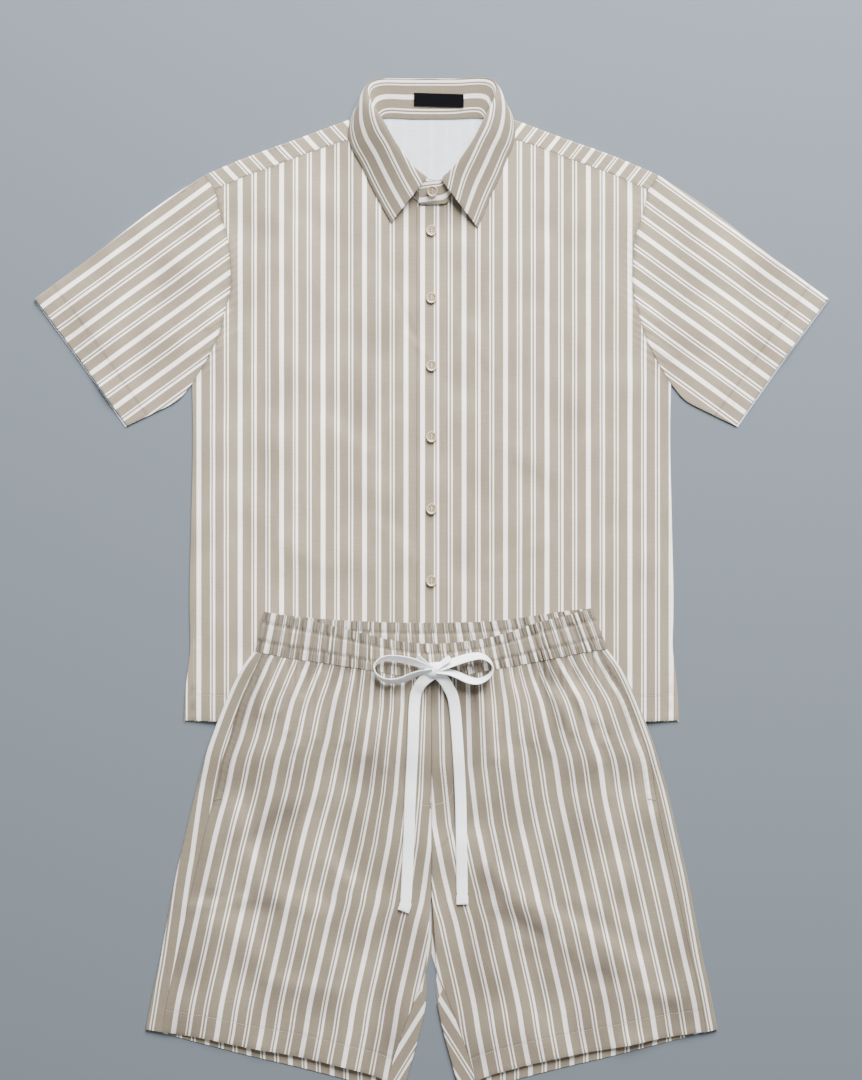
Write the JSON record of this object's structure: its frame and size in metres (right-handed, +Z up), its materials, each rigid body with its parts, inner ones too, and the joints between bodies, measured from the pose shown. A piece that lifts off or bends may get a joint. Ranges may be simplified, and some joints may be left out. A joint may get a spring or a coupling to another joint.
{
  "type": "co-ord set of shirt and shorts",
  "caption": "Striped short-sleeved button-up shirt with a turned-down collar and matching gathered drawstring shorts, laid flat as one set.",
  "frame": {"origin": "middle of the laid set's footprint, on the surface it lies on, without the drawstring", "axes": "+Y towards the collar, +X to the right when looking down with the collar away, +Z up from the surface"},
  "size_m": [0.9282, 1.1878, 0.0271],
  "materials": {
    "striped_cloth": "beige woven cotton with fine white stripes, matt",
    "button": "tan resin, soft gloss",
    "label": "black woven tape, bare",
    "drawstring": "white flat braid, matt"
  },
  "bodies": {
    "root": {"shirt_back": "striped_cloth", "shirt_yoke": "striped_cloth", "shirt_front_left": "striped_cloth", "shirt_front_right": "striped_cloth", "sleeve_left": "striped_cloth", "sleeve_right": "striped_cloth", "collar_stand": "striped_cloth", "collar_leaf": "striped_cloth", "waistband": "striped_cloth", "shorts_front_left": "striped_cloth", "shorts_front_right": "striped_cloth", "shorts_back_left": "striped_cloth", "shorts_back_right": "striped_cloth", "button_1": "button", "button_2": "button", "button_3": "button", "button_4": "button", "button_5": "button", "button_6": "button", "button_collar": "button", "neck_label": "label", "drawstring_tail_left": "drawstring", "drawstring_tail_right": "drawstring", "drawstring_loop_left": "drawstring", "drawstring_loop_right": "drawstring", "drawstring_knot": "drawstring"}
  },
  "joints": []
}
